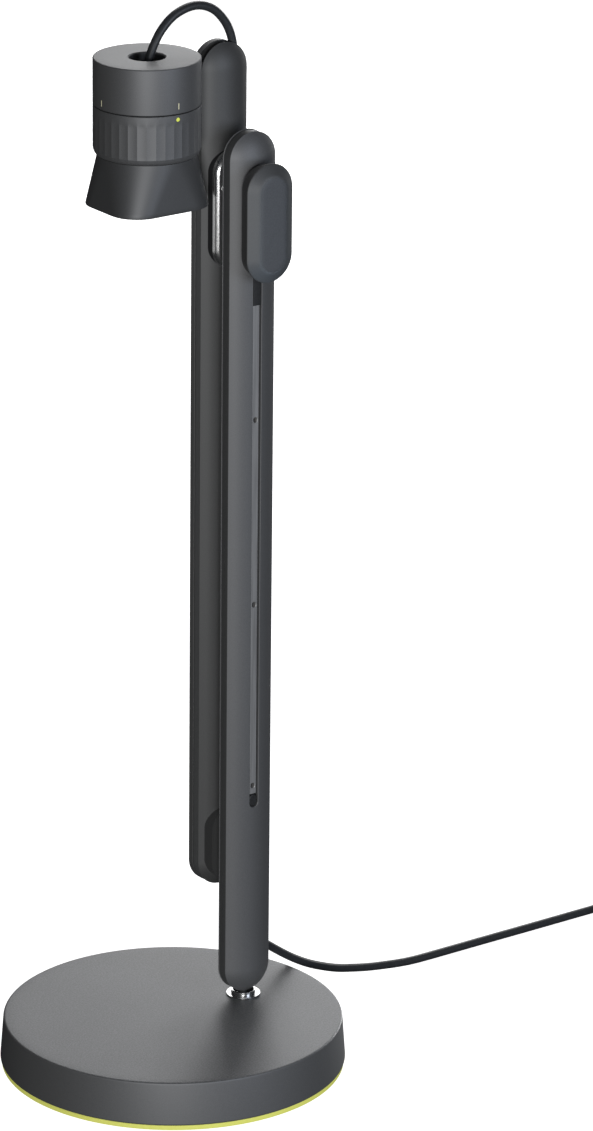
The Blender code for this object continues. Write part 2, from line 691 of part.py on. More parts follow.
def make_usb(dark, rubber, steel):
    """The USB cable on the desk, its coil and tie, the short tail and the plug."""
    tube("usb_cable", USB_ROUTE, CABLE_D, rubber)
    cx, cy = COIL_CENTRE
    half = COIL_BUNDLE / 2
    coil = []
    for i in range(10):
        t = 2 * math.pi * i / 10
        coil.append((COIL_MID_R + half * math.cos(t), half * 0.96 + half * math.sin(t)))
    turned("usb_coil", cx, cy, coil, rubber, segs=40, hollow=True)

    x = cx + COIL_MID_R + CABLE_D
    end = cy - 35.2
    tail = [(x, cy - 16.0, 7.9), (x, cy - 20.0, 6.3), (x, cy - 24.0, 4.6), (x, cy - 30.0, 2.7), (x, end, 2.4)]
    tube("usb_tail", tail, CABLE_D, rubber, step=4.0)
    box("usb_plug", (x - 5.2, end - 22.3, 0.1), (x + 5.2, end - 0.3, 6.1), dark)
    box("usb_plug_shell", (x - 4.15, end - 29.3, 1.8), (x + 4.15, end - 22.6, 4.4), steel)
    inside = COIL_MID_R - half - 2.1
    outside = COIL_MID_R + half + 1.5
    top = COIL_BUNDLE + 1.6
    plan = [(-outside, 0.1), (-outside, top), (-inside, top), (-inside, 0.1), (-inside - 1.0, 0.1)]
    plan += [(-inside - 1.0, top - 1.0), (-outside + 1.0, top - 1.0), (-outside + 1.0, 0.1)]
    rings = [[(cx + px, cy + py, z) for px, z in plan] for py in (-4.5, 4.5)]
    solid("coil_tie", *loft(rings), dark)


def main():
    clear_scene()
    paint = finish("graphite_paint", (0.10, 0.10, 0.105), 0.5)
    dark = finish("black_plastic", (0.02, 0.02, 0.022), 0.5)
    rubber = finish("black_rubber", (0.04, 0.042, 0.045), 0.7)
    lime = finish("lime_silicone", (0.75, 0.80, 0.22), 0.6)
    accent = finish("yellow_mark", (0.85, 0.85, 0.20), 0.5)
    steel = finish("steel", (0.45, 0.45, 0.46), 0.35, 1.0)
    chrome = finish("chrome", (0.8, 0.8, 0.82), 0.08, 1.0)
    bearing = finish("bearing_plastic", (0.6, 0.6, 0.58), 0.4)
    glass = finish("lens_glass", (0.03, 0.03, 0.05), 0.05)
    board = finish("circuit_board", (0.02, 0.12, 0.05), 0.5)

    swivel = axis_empty("axis_base_swivel", POST_X, 0, BASE_Z[1])
    slide = axis_empty("axis_carriage_slide", POST_X, 0, CARRIAGE_Z, swivel)
    turn = axis_empty("axis_arm_turn", POST_X, 0, TURN_Z, slide)
    arm = axis_empty("axis_arm_slide", POST_X, ARM_FRONT_EDGE, TURN_Z, turn)
    tilt = axis_empty("axis_camera_tilt", POST_X, HEAD_Y, TIP_Z, arm)
    ring = axis_empty("axis_ring_turn", HEAD_X, HEAD_Y, SEAM_Z, tilt)

    make_base(paint, steel, lime, bearing)
    make_post(swivel, paint, dark, steel, chrome, rubber)
    make_carriage(slide, paint, dark, rubber, steel, chrome, bearing)
    make_coupler(turn, chrome, dark, bearing)
    make_arm(arm, paint, dark, rubber, steel)
    make_bracket(tilt, steel)
    make_camera(tilt, paint, rubber)
    make_ring(ring, paint, accent)
    make_lens(ring, paint, dark, glass, board)
    tube("camera_cable", LOOP_ROUTE, CABLE_D, rubber, tilt, step=6.0)
    make_usb(dark, rubber, steel)


main()
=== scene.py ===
"""Looks for the desk-stand webcam: camera, light, cords, and a finished shell for every visible piece.

Sizes of the object's pieces are millimetres, and solid turns them into metres.
"""

import math

import bmesh
import bpy
from mathutils import Matrix, Vector


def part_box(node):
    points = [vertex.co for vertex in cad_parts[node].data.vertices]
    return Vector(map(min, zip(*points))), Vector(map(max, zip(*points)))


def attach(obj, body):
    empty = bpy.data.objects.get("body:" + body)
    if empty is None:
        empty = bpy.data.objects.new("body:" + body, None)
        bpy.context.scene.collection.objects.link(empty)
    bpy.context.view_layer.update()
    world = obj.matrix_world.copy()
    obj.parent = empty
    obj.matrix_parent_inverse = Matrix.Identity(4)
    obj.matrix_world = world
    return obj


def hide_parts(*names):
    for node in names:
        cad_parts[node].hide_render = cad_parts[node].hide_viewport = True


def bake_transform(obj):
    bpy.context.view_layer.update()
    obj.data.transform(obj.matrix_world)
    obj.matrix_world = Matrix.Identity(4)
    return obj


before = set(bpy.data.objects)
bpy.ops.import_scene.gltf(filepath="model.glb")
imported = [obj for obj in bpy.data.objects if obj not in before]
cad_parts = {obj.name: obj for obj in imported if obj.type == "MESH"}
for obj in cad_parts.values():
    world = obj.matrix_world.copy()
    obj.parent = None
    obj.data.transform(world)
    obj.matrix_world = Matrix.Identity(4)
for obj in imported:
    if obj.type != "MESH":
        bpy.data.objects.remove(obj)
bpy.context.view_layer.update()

MM = 0.001
TAU = 2 * math.pi
SHARP = 32.0
WELD = 1e-7
CARVED_WELD = 2e-7
CORD_SIDES = 16


def span(node):
    """A node's lowest and highest corners in millimetres."""
    low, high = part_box(node)
    return [v / MM for v in low], [v / MM for v in high]


def spread(node, axis):
    """The middle of a node's box along one axis, and half its size there, in millimetres."""
    low, high = span(node)
    return (low[axis] + high[axis]) / 2, (high[axis] - low[axis]) / 2


def middle(node, axis):
    """The middle of a node's box along one axis, in millimetres."""
    return spread(node, axis)[0]


# ---------------------------------------------------------------- camera, light and floor

CAM_TURN = math.radians(35.0)
CAM_AT = (-1.5238, -2.1763, 1.1942)
CAM_DOWN = math.radians(19.551)
CAM_YAW = math.radians(1.225)
CAM_ROLL = math.radians(0.573)
LENS = 192.96
WHOLE = (0.03, 0.0, 0.26)
HIGH_PART = (0.04, 0.0, 0.42)
BASE_PART = (0.0, 0.0, 0.02)
FLOOR_R = 14.0
WALL_H = 12.0


def make_camera():
    """The main view: a long lens from the grip's side, to the left and above."""
    cy, sy = math.cos(CAM_YAW), math.sin(CAM_YAW)
    cd, sd = math.cos(CAM_DOWN), math.sin(CAM_DOWN)
    ahead = Vector((sy * cd, cy * cd, -sd))
    right = Vector((cy, -sy, 0.0))
    up = right.cross(ahead)
    cr, sr = math.cos(CAM_ROLL), math.sin(CAM_ROLL)
    right, up = right * cr + up * sr, up * cr - right * sr
    pose = Matrix((right, up, -ahead)).transposed()
    data = bpy.data.cameras.new("camera")
    data.lens = LENS
    data.sensor_width = 36.0
    data.clip_start = 0.05
    data.clip_end = 50.0
    obj = bpy.data.objects.new("camera", data)
    bpy.context.scene.collection.objects.link(obj)
    obj.matrix_world = Matrix.Translation(CAM_AT) @ (Matrix.Rotation(-CAM_TURN, 3, "Z") @ pose).to_4x4()
    bpy.context.scene.camera = obj


def softbox(name, azimuth, elevation, distance, size, power, colour=(1, 1, 1), aim=WHOLE):
    """A soft area light at an azimuth and elevation from its aim; azimuth 0 is the grip's side."""
    a, e = math.radians(azimuth), math.radians(elevation)
    back = Vector((math.sin(a) * math.cos(e), -math.cos(a) * math.cos(e), math.sin(e)))
    data = bpy.data.lights.new(name, "AREA")
    data.shape = "RECTANGLE"
    data.size, data.size_y = size
    data.energy = power
    data.color = colour
    obj = bpy.data.objects.new(name, data)
    bpy.context.scene.collection.objects.link(obj)
    obj.location = Vector(aim) + back * distance
    obj.rotation_mode = "QUATERNION"
    obj.rotation_quaternion = (-back).to_track_quat("-Z", "Y")
    obj.visible_camera = False
    return obj


def make_studio():
    """Soft boxes, a dim room, and a white floor with a far wall round it that throw no light back."""
    softbox("key", -38, 3, 1.9, (0.7, 0.6), 14.5)
    softbox("top_back", 145, 50, 1.6, (1.0, 0.8), 5.9)
    softbox("cool_fill", 11, 12, 1.8, (0.5, 0.9), 7.2, (0.8, 0.87, 1.0))
    softbox("rim", 141, 16, 1.8, (0.5, 1.4), 8.4)
    softbox("side_rim", 110, 12, 1.8, (0.5, 1.2), 5.4)
    world = bpy.data.worlds.new("room")
    world.use_nodes = True
    room = world.node_tree.nodes["Background"]
    room.inputs["Color"].default_value = (0.94, 0.97, 1.0, 1.0)
    room.inputs["Strength"].default_value = 0.032
    bpy.context.scene.world = world
    bpy.context.scene.view_settings.view_transform = "Standard"

    bm = bmesh.new()
    bmesh.ops.create_circle(bm, cap_ends=True, radius=FLOOR_R, segments=96)
    wall = bmesh.ops.extrude_edge_only(bm, edges=bm.edges[:])["geom"]
    bmesh.ops.translate(bm, verts=[v for v in wall if isinstance(v, bmesh.types.BMVert)], vec=(0, 0, WALL_H))
    mesh = bpy.data.meshes.new("floor")
    bm.to_mesh(mesh)
    bm.free()
    floor = bpy.data.objects.new("floor", mesh)
    bpy.context.scene.collection.objects.link(floor)
    floor.location.z = -0.0002
    floor.visible_diffuse = False
    floor.visible_glossy = False
    mat = bpy.data.materials.new("floor_white")
    mat.use_nodes = True
    shader = mat.node_tree.nodes["Principled BSDF"]
    shader.inputs["Base Color"].default_value = (0.8, 0.8, 0.8, 1.0)
    shader.inputs["Roughness"].default_value = 0.9
    shader.inputs["Specular IOR Level"].default_value = 0.0
    shader.inputs["Emission Color"].default_value = (1.0, 1.0, 1.0, 1.0)
    shader.inputs["Emission Strength"].default_value = 1.0
    mat.cycles.emission_sampling = "NONE"
    mesh.materials.append(mat)


def light_only(lights, pieces):
    """Let some lights fall on a few pieces only, with no other piece in their way."""
    group = bpy.data.collections.new("lit_apart")
    for name in pieces:
        group.objects.link(bpy.data.objects[name])
    for light in lights:
        light.light_linking.receiver_collection = group
        light.light_linking.blocker_collection = group


def make_small_lights():
    """Panels for the polished coupler, a fill behind the arm, a kick under the grip, a rim on the base."""
    light_only([
        softbox("left_panel", -75, -9, 1.1, (1.0, 0.5), 0.36, aim=HIGH_PART),
        softbox("back_panel", -140, 3, 1.1, (0.9, 1.1), 1.3, aim=HIGH_PART),
        softbox("left_line", -62, 0, 1.05, (0.03, 0.7), 0.16, aim=HIGH_PART),
        softbox("back_line", -128, 3, 1.05, (0.03, 1.0), 0.24, aim=HIGH_PART),
    ], ["coupler_boss", "coupler_disc"])
    light_only([softbox("rear_fill", 225, 18, 1.6, (1.0, 1.0), 4.0)], ["arm_rear", "arm_band", "post_rear"])
    grip_kick = softbox("grip_kick", 12, -42, 0.58, (0.5, 0.25), 0.8, (0.6, 0.78, 1.0), aim=HIGH_PART)
    light_only([grip_kick], ["grip_body"])
    light_only([softbox("base_kick", 112, 4, 1.4, (0.4, 0.3), 6.0, aim=BASE_PART)], ["base_shell"])


make_camera()
make_studio()


# ---------------------------------------------------------------- finishes

NOISE_LOW = 0.3
NOISE_HIGH = 0.7
GRAIN_LOW = 0.4
GRAIN_HIGH = 0.78
DRIFT_SCALE = 14.0
DRIFT_SHARE = 0.18
BRUSH_SCALE = 900.0


def principled(name, colour, rough, metal, **sockets):
    """A new material and its shader, with plain values set on the shader's own sockets."""
    mat = bpy.data.materials.new(name)
    mat.use_nodes = True
    shader = mat.node_tree.nodes["Principled BSDF"]
    shader.inputs["Base Color"].default_value = (*colour, 1.0)
    shader.inputs["Roughness"].default_value = rough
    shader.inputs["Metallic"].default_value = metal
    for socket, value in sockets.items():
        shader.inputs[socket.replace("_", " ")].default_value = value
    return mat, shader


def noise(mat, scale, detail, rough=0.5, stretch=None):
    """Noise in the object's own space; scale is per metre, and stretch squeezes it along an axis."""
    nodes, links = mat.node_tree.nodes, mat.node_tree.links
    place = nodes.new("ShaderNodeTexCoord")
    tex = nodes.new("ShaderNodeTexNoise")
    tex.inputs["Scale"].default_value = scale
    tex.inputs["Detail"].default_value = detail
    tex.inputs["Roughness"].default_value = rough
    if stretch is None:
        links.new(place.outputs["Object"], tex.inputs["Vector"])
    else:
        squeeze = nodes.new("ShaderNodeMapping")
        squeeze.inputs["Scale"].default_value = stretch
        links.new(place.outputs["Object"], squeeze.inputs["Vector"])
        links.new(squeeze.outputs["Vector"], tex.inputs["Vector"])
    return tex.outputs["Fac"]


def shades(mat, fac, dark, light, low=NOISE_LOW, high=NOISE_HIGH):
    """A colour between two shades, read from a grey value."""
    ramp = mat.node_tree.nodes.new("ShaderNodeValToRGB")
    ramp.color_ramp.elements[0].position = low
    ramp.color_ramp.elements[0].color = (*dark, 1.0)
    ramp.color_ramp.elements[1].position = high
    ramp.color_ramp.elements[1].color = (*light, 1.0)
    mat.node_tree.links.new(fac, ramp.inputs["Fac"])
    return ramp.outputs["Color"]


def remap(mat, fac, low, high):
    """A noise value moved to another range."""
    node = mat.node_tree.nodes.new("ShaderNodeMapRange")
    node.inputs["From Min"].default_value = NOISE_LOW
    node.inputs["From Max"].default_value = NOISE_HIGH
    node.inputs["To Min"].default_value = low
    node.inputs["To Max"].default_value = high
    mat.node_tree.links.new(fac, node.inputs["Value"])
    return node.outputs["Result"]


def bumpy(mat, shader, fac, depth_mm):
    """Surface relief from a grey value."""
    bump = mat.node_tree.nodes.new("ShaderNodeBump")
    bump.inputs["Strength"].default_value = 1.0
    bump.inputs["Distance"].default_value = depth_mm * MM
    mat.node_tree.links.new(fac, bump.inputs["Height"])
    mat.node_tree.links.new(bump.outputs["Normal"], shader.inputs["Normal"])


def grained(name, dark, light, rough, metal, grain, depth, swing=0.05, **sockets):
    """A finish with a fine grain in its colour, roughness and relief, and a faint slow drift along it."""
    mat, shader = principled(name, dark, rough, metal, **sockets)
    fine = noise(mat, grain, 3.0, 0.6)
    slow = noise(mat, DRIFT_SCALE, 2.0)
    mix = mat.node_tree.nodes.new("ShaderNodeMath")
    mix.operation = "MULTIPLY_ADD"
    mix.inputs[1].default_value = DRIFT_SHARE
    links = mat.node_tree.links
    links.new(slow, mix.inputs[0])
    links.new(fine, mix.inputs[2])
    grey = mix.outputs["Value"]
    links.new(shades(mat, grey, dark, light, GRAIN_LOW, GRAIN_HIGH), shader.inputs["Base Color"])
    links.new(remap(mat, fine, rough - swing, rough + swing), shader.inputs["Roughness"])
    bumpy(mat, shader, fine, depth)
    return mat


def brushed(name, dark, light, rough, stretch, metal=1.0, depth=0.006, swing=0.08):
    """A metal with fine lines along one axis; with no depth it is polished, and only its shade has lines."""
    mat, shader = principled(name, light, rough, metal)
    lines = noise(mat, BRUSH_SCALE, 3.0, 0.6, stretch)
    links = mat.node_tree.links
    links.new(shades(mat, lines, dark, light), shader.inputs["Base Color"])
    links.new(remap(mat, lines, rough - swing, rough + swing), shader.inputs["Roughness"])
    if depth > 0:
        bumpy(mat, shader, lines, depth)
    return mat


GRAPHITE = grained("graphite", (0.182, 0.185, 0.19), (0.223, 0.226, 0.231), 0.56, 0.55, 2600.0, 0.005, 0.03)
# A darker copy of the graphite finish for the arm's covers and the grip, which share the post's finish:
# painted shade.
SHADED_GRAPHITE = grained("graphite_painted_shade", (0.122, 0.124, 0.125), (0.148, 0.15, 0.151), 0.56, 0.55, 2600.0, 0.005, 0.03)
SPECKLE = grained("graphite_speckled", (0.128, 0.13, 0.134), (0.25, 0.253, 0.258), 0.56, 0.55, 1350.0, 0.014,
                  0.06)
SIDE = grained("graphite_side", (0.2, 0.203, 0.208), (0.24, 0.243, 0.248), 0.56, 0.55, 2400.0, 0.006, 0.03)
HOOD = grained("hood_plastic", (0.13, 0.133, 0.137), (0.148, 0.151, 0.155), 0.5, 0.5, 2400.0, 0.004, 0.02)
BAND = grained("band_plastic", (0.088, 0.091, 0.092), (0.108, 0.111, 0.113), 0.55, 0.1, 1400.0, 0.006)
BLACK = grained("black_plastic", (0.024, 0.025, 0.026), (0.036, 0.037, 0.039), 0.5, 0.0, 1200.0, 0.01)
RUBBER = grained("black_rubber", (0.034, 0.036, 0.036), (0.05, 0.053, 0.054), 0.6, 0.0, 1500.0, 0.012)
CABLE = grained("cable_jacket", (0.034, 0.037, 0.041), (0.05, 0.054, 0.059), 0.38, 0.0, 1200.0, 0.008)
PAD = grained("pad_rubber", (0.112, 0.12, 0.132), (0.138, 0.148, 0.162), 0.6, 0.1, 1500.0, 0.012)
# The lime, dot and tick finishes give off a faint light of their own: painted glow that makes them brighter
# than the lamps alone would.
LIME = grained("lime_silicone", (0.76, 0.78, 0.16), (0.84, 0.86, 0.22), 0.55, 0.0, 700.0, 0.01,
               Emission_Color=(0.8, 0.82, 0.17, 1.0), Emission_Strength=0.3)
DOT = grained("dot_print", (0.84, 0.92, 0.12), (0.9, 0.98, 0.18), 0.5, 0.0, 900.0, 0.005,
              Emission_Color=(0.86, 0.95, 0.15, 1.0), Emission_Strength=0.3)
TICK = grained("tick_print", (0.88, 0.86, 0.6), (0.95, 0.93, 0.68), 0.5, 0.0, 900.0, 0.005,
              Emission_Color=(0.92, 0.86, 0.5, 1.0), Emission_Strength=0.22)
SATIN = brushed("satin_chrome", (0.6, 0.6, 0.6), (0.66, 0.66, 0.66), 0.25, (0.05, 1.0, 1.0), 1.0, 0.0, 0.01)
RAIL = brushed("satin_rail", (0.4, 0.4, 0.4), (0.5, 0.5, 0.5), 0.52, (1.0, 1.0, 0.03), 0.6)
STEEL = brushed("machined_steel", (0.36, 0.36, 0.37), (0.52, 0.52, 0.53), 0.34, (1.0, 1.0, 0.03))
BEARING = grained("bearing_plastic", (0.52, 0.52, 0.49), (0.62, 0.62, 0.59), 0.4, 0.0, 800.0, 0.01)
GLASS, _ = principled("lens_glass", (0.01, 0.012, 0.02), 0.04, 0.0, Coat_Weight=1.0, Coat_Roughness=0.02)
BOARD = grained("circuit_board", (0.01, 0.07, 0.03), (0.02, 0.11, 0.05), 0.45, 0.0, 300.0, 0.01)


# ---------------------------------------------------------------- mesh helpers


def solid(name, verts, faces, weld=None):
    """A new mesh object from millimetre points, its normals outward; points nearer than weld are merged."""
    bm = bmesh.new()
    made = [bm.verts.new(Vector(v) * MM) for v in verts]
    for face in faces:
        bm.faces.new([made[i] for i in face])
    if weld is not None:
        bmesh.ops.remove_doubles(bm, verts=bm.verts, dist=weld)
    bmesh.ops.recalc_face_normals(bm, faces=bm.faces)
    mesh = bpy.data.meshes.new(name)
    bm.to_mesh(mesh)
    bm.free()
    obj = bpy.data.objects.new(name, mesh)
    bpy.context.scene.collection.objects.link(obj)
    return obj


def shade(mesh, mat, sharp):
    """One finish, and smooth shading with sharp edges over an angle in degrees."""
    mesh.materials.clear()
    mesh.materials.append(mat)
    mesh.shade_smooth()
    mesh.set_sharp_from_angle(angle=math.radians(sharp))


def put(name, verts, faces, mat, body=None, nodes=(), slot=None, sharp=SHARP):
    """A new piece from millimetre points: finished, on its body, and standing for its CAD nodes."""
    obj = solid(name, verts, faces, WELD)
    shade(obj.data, mat, sharp)
    if body is not None:
        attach(obj, body)
    if nodes:
        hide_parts(*nodes)
    return obj


def loft(rings, ends=(True, True)):
    """Points and faces of a skin through equally long rings. With no ends, the last joins the first."""
    count = len(rings[0])
    verts = [p for ring in rings for p in ring]
    faces = []
    last = len(rings) - 1 if any(ends) else len(rings)
    for k in range(last):
        a, b = k * count, (k + 1) % len(rings) * count
        for i in range(count):
            j = (i + 1) % count
            faces.append((a + i, a + j, b + j, b + i))
    if ends[0]:
        faces.append(tuple(range(count))[::-1])
    if ends[1]:
        faces.append(tuple(range(len(verts) - count, len(verts))))
    return verts, faces


def eased(points, closed=False, steps=4):
    """A profile with its corners rounded: each point is (u, v) or (u, v, radius)."""
    out = []
    count = len(points)
    for i, point in enumerate(points):
        corner = Vector(point[:2])
        radius = point[2] if len(point) > 2 else 0.0
        if radius <= 0 or (not closed and i in (0, count - 1)):
            out.append(tuple(corner))
            continue
        before = Vector(points[i - 1][:2]) - corner
        after = Vector(points[(i + 1) % count][:2]) - corner
        a = corner + before.normalized() * min(radius, before.length * 0.5)
        b = corner + after.normalized() * min(radius, after.length * 0.5)
        for k in range(steps + 1):
            t = k / steps
            out.append(tuple(a * (1 - t) ** 2 + corner * (2 * t * (1 - t)) + b * t * t))
    return out


def circle_z(cx, cy, r, z, segs):
    """A circle across Z."""
    turns = [TAU * i / segs for i in range(segs)]
    return [(cx + r * math.cos(t), cy + r * math.sin(t), z) for t in turns]


def circle_y(cx, cz, r, y, segs):
    """A circle across Y."""
    turns = [TAU * i / segs for i in range(segs)]
    return [(cx + r * math.cos(t), y, cz + r * math.sin(t)) for t in turns]


def lathe(name, cx, cy, profile, mat, body, nodes, slot, segs, hollow=False, steps=4):
    """A turned body about a vertical axis from (radius, height, corner radius) points."""
    rings = [circle_z(cx, cy, r, z, segs) for r, z in eased(profile, hollow, steps)]
    return put(name, *loft(rings, (not hollow, not hollow)), mat, body, nodes, slot)


def lathe_y(name, cx, cz, profile, mat, body, nodes, slot, segs):
    """A turned body about an axis along Y from (radius, y, corner radius) points."""
    rings = [circle_y(cx, cz, r, y, segs) for r, y in eased(profile)]
    return put(name, *loft(rings), mat, body, nodes, slot)


def stadium(cx, cz, half_w, half_h, y, segs):
    """A stadium outline across Y, long along Z."""
    straight = half_h - half_w
    points = []
    for side, start in ((1, 0.0), (-1, math.pi)):
        for i in range(segs + 1):
            t = start + math.pi * i / segs
            points.append((cx + half_w * math.cos(t), y, cz + side * straight + half_w * math.sin(t)))
    return points


def oval(name, cx, cz, half_w, half_h, profile, mat, body, nodes, slot, hollow=False, segs=28, steps=4):
    """A stadium-shaped body from (inset, y, corner radius) points."""
    rings = [stadium(cx, cz, half_w - d, half_h - d, y, segs) for d, y in eased(profile, hollow, steps)]
    return put(name, *loft(rings, (not hollow, not hollow)), mat, body, nodes, slot)


def cutter(verts, faces):
    """A throw-away solid for carve."""
    return solid("cutter", verts, faces)


def carve(obj, *cutters, sharp=SHARP):
    """Take cutters away from a piece for good, and remove them."""
    for tool in cutters:
        mod = obj.modifiers.new("carve", "BOOLEAN")
        mod.operation = "DIFFERENCE"
        mod.object = tool
    bpy.context.view_layer.update()
    graph = bpy.context.evaluated_depsgraph_get()
    mesh = bpy.data.meshes.new_from_object(obj.evaluated_get(graph))
    obj.modifiers.clear()
    mat = obj.data.materials[0]
    obj.data = mesh
    for tool in cutters:
        bpy.data.objects.remove(tool, do_unlink=True)
    bm = bmesh.new()
    bm.from_mesh(mesh)
    bmesh.ops.remove_doubles(bm, verts=bm.verts, dist=CARVED_WELD)
    bm.to_mesh(mesh)
    bm.free()
    shade(mesh, mat, sharp)


def slot_tool(cx, z, stages):
    """A round-ended slot cutter: z is (low, high), stages are (half width, y)."""
    cz, half = (z[0] + z[1]) / 2, (z[1] - z[0]) / 2
    narrow = min(w for w, y in stages)
    rings = [stadium(cx, cz, w, half + w - narrow, y, 12) for w, y in stages]
    return cutter(*loft(rings))


def round_tool(cx, cz, stages, segs=48):
    """A round cutter along Y: stages are (radius, y)."""
    return cutter(*loft([circle_y(cx, cz, r, y, segs) for r, y in stages]))


def well_tool(cx, cy, stages, segs=64):
    """A round cutter along Z: stages are (radius, z)."""
    return cutter(*loft([circle_z(cx, cy, r, z, segs) for r, z in stages]))


def prism_tool(outline, z0, z1):
    """A cutter from an outline across Z."""
    return cutter(*loft([[(x, y, z) for x, y in outline] for z in (z0, z1)]))


def sleek(points, step):
    """Even points, about step apart, on a smooth curve through a route's own points."""
    p = [Vector(q) for q in points]
    p = [2 * p[0] - p[1]] + p + [2 * p[-1] - p[-2]]
    fine, parts = [], 24
    for k in range(1, len(p) - 2):
        for i in range(parts):
            t = i / parts
            b = 2 * p[k] + (p[k + 1] - p[k - 1]) * t
            c = (2 * p[k - 1] - 5 * p[k] + 4 * p[k + 1] - p[k + 2]) * t * t
            d = (3 * p[k] - p[k - 1] - 3 * p[k + 1] + p[k + 2]) * t**3
            fine.append(0.5 * (b + c + d))
    fine.append(p[-2])
    total = sum((b - a).length for a, b in zip(fine, fine[1:]))
    count = max(3, round(total / step))
    even, run = [fine[0]], 0.0
    for a, b in zip(fine, fine[1:]):
        length = (b - a).length
        while len(even) < count and run + length >= total * len(even) / count:
            even.append(a.lerp(b, (total * len(even) / count - run) / length))
        run += length
    even.append(fine[-1])
    return even


def tube_mesh(name, points, radius, mat):
    """A round tube along points, with closed ends. Its rings turn as little as they can along the way."""
    turns = [TAU * k / CORD_SIDES for k in range(CORD_SIDES)]
    rings = []
    normal = None
    for i, at in enumerate(points):
        ahead = (points[min(i + 1, len(points) - 1)] - points[max(i - 1, 0)]).normalized()
        if normal is None:
            normal = ahead.orthogonal()
        normal = (normal - ahead * normal.dot(ahead)).normalized()
        other = ahead.cross(normal)
        rings.append([at + (normal * math.cos(t) + other * math.sin(t)) * radius for t in turns])
    return put(name, *loft(rings), mat)


# ---------------------------------------------------------------- cords

CABLE_D = 4.1
COIL_CENTRE = (307.0, -1.4)
GLAND_AT = Vector((52.0, 4.4, 45.3))
GLAND_WAY = Vector((0.74, 0.62, -0.26)).normalized()
COIL_MID_R = 22.5
USB_ROUTE = [
    (57.25, 8.8, 43.4),
    (60.4, 10.7, 41.9),
    (65.2, 12.2, 38.5),
    (73.0, 15.0, 32.8),
    (83.5, 18.0, 25.6),
    (94.1, 20.0, 19.4),
    (104.4, 21.6, 14.6),
    (114.6, 22.8, 10.7),
    (124.6, 23.7, 8.0),
    (134.2, 24.2, 5.9),
    (144.0, 24.6, 4.3),
    (154.0, 24.8, 3.0),
    (164.0, 24.9, 2.3),
    (178.0, 24.9, 2.2),
    (204.0, 25.0, 2.2),
    (236.0, 25.0, 2.2),
    (268.0, 25.1, 2.2),
    (291.0, 25.2, 2.2),
]
LOOP_ROUTE = [
    (0.7, 23.7, 477.4),
    (0.9, 23.7, 484.0),
    (3.4, 23.7, 491.7),
    (8.3, 23.5, 500.0),
    (16.0, 23.3, 506.5),
    (26.5, 23.0, 509.3),
    (36.0, 22.7, 506.7),
    (42.8, 22.5, 500.2),
    (46.4, 22.4, 493.2),
    (47.9, 22.4, 486.0),
    (48.0, 22.4, 476.0),
    (48.0, 22.4, 462.4),
]
COIL_PLACES = [(1, 0), (0, 0), (-1, 0), (-1, 1), (0, 1), (1, 1), (-1, 2), (0, 2), (1, 2)]
COIL_STRAND_Z = 2.2
COIL_STRAND_RISE = 0.98 * CABLE_D
# Degrees about the coil's centre; it winds towards lower angles and changes place once a turn.
COIL_STARTS = 90.0
COIL_TURNS = 8.25
COIL_STEP = 15.0
CROSS_AT = -180.0
CROSS_OVER = 60.0


def coil_points():
    """The coil: nine strands side by side and on each other, each moving to the next place at one side."""
    cx, cy = COIL_CENTRE
    points = []
    degrees = COIL_STARTS
    while degrees >= COIL_STARTS - 360.0 * COIL_TURNS:
        passed = (CROSS_AT + CROSS_OVER / 2 - degrees) / 360.0
        k = math.floor(passed) if passed >= 0 else -1
        share = 1.0
        if k >= 0:
            share = min(1.0, (passed - k) * 360.0 / CROSS_OVER)
            share = share * share * (3 - 2 * share)
        a = COIL_PLACES[max(0, k)]
        b = COIL_PLACES[min(k + 1, len(COIL_PLACES) - 1)]
        side = a[0] + (b[0] - a[0]) * share
        level = a[1] + (b[1] - a[1]) * share
        r = COIL_MID_R + side * CABLE_D
        t = math.radians(degrees)
        z = COIL_STRAND_Z + level * COIL_STRAND_RISE
        points.append((cx + r * math.cos(t), cy + r * math.sin(t), z))
        degrees -= COIL_STEP
    return points


def make_usb():
    """The USB cable: down from the post, along the desk, its coil, tie and plug."""
    cx, cy = COIL_CENTRE
    x = cx + COIL_MID_R + CABLE_D
    tail = [(x, cy - out, z) for out, z in ((8.0, 10.2), (16.0, 8.0), (24.0, 4.6), (30.0, 2.7), (35.2, 2.4))]
    line = sleek(USB_ROUTE + coil_points() + tail, 2.6)
    cord = tube_mesh("usb_cord", line, CABLE_D / 2, CABLE)
    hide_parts("usb_cable", "usb_coil", "usb_tail")
    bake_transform(cord)
    return cord, line


usb_cord, usb_line = make_usb()


def make_loop():
    """The short cable over the top, from the head's well into the groove at the arm's tip."""
    line = sleek(LOOP_ROUTE, 2.0)
    loop = tube_mesh("camera_loop", line, CABLE_D / 2, CABLE)
    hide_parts("camera_cable")
    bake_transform(loop)


make_loop()


def flat_rings(node, profile, steps):
    """Flat outlines with round sides, across Y, from (inset, y, corner radius) points inside a node's box."""
    cx, half_x = spread(node, 0)
    cz, half_z = spread(node, 2)
    segs = 10
    rings = []
    for inset, y in eased(profile, steps=steps):
        r = half_z - inset
        ring = []
        for side, start in ((1, -90.0), (-1, 90.0)):
            for i in range(segs + 1):
                t = math.radians(start + 180.0 * i / segs)
                ring.append((cx + side * (half_x - half_z) + r * math.cos(t), y, cz + r * math.sin(t)))
        rings.append(ring)
    return rings


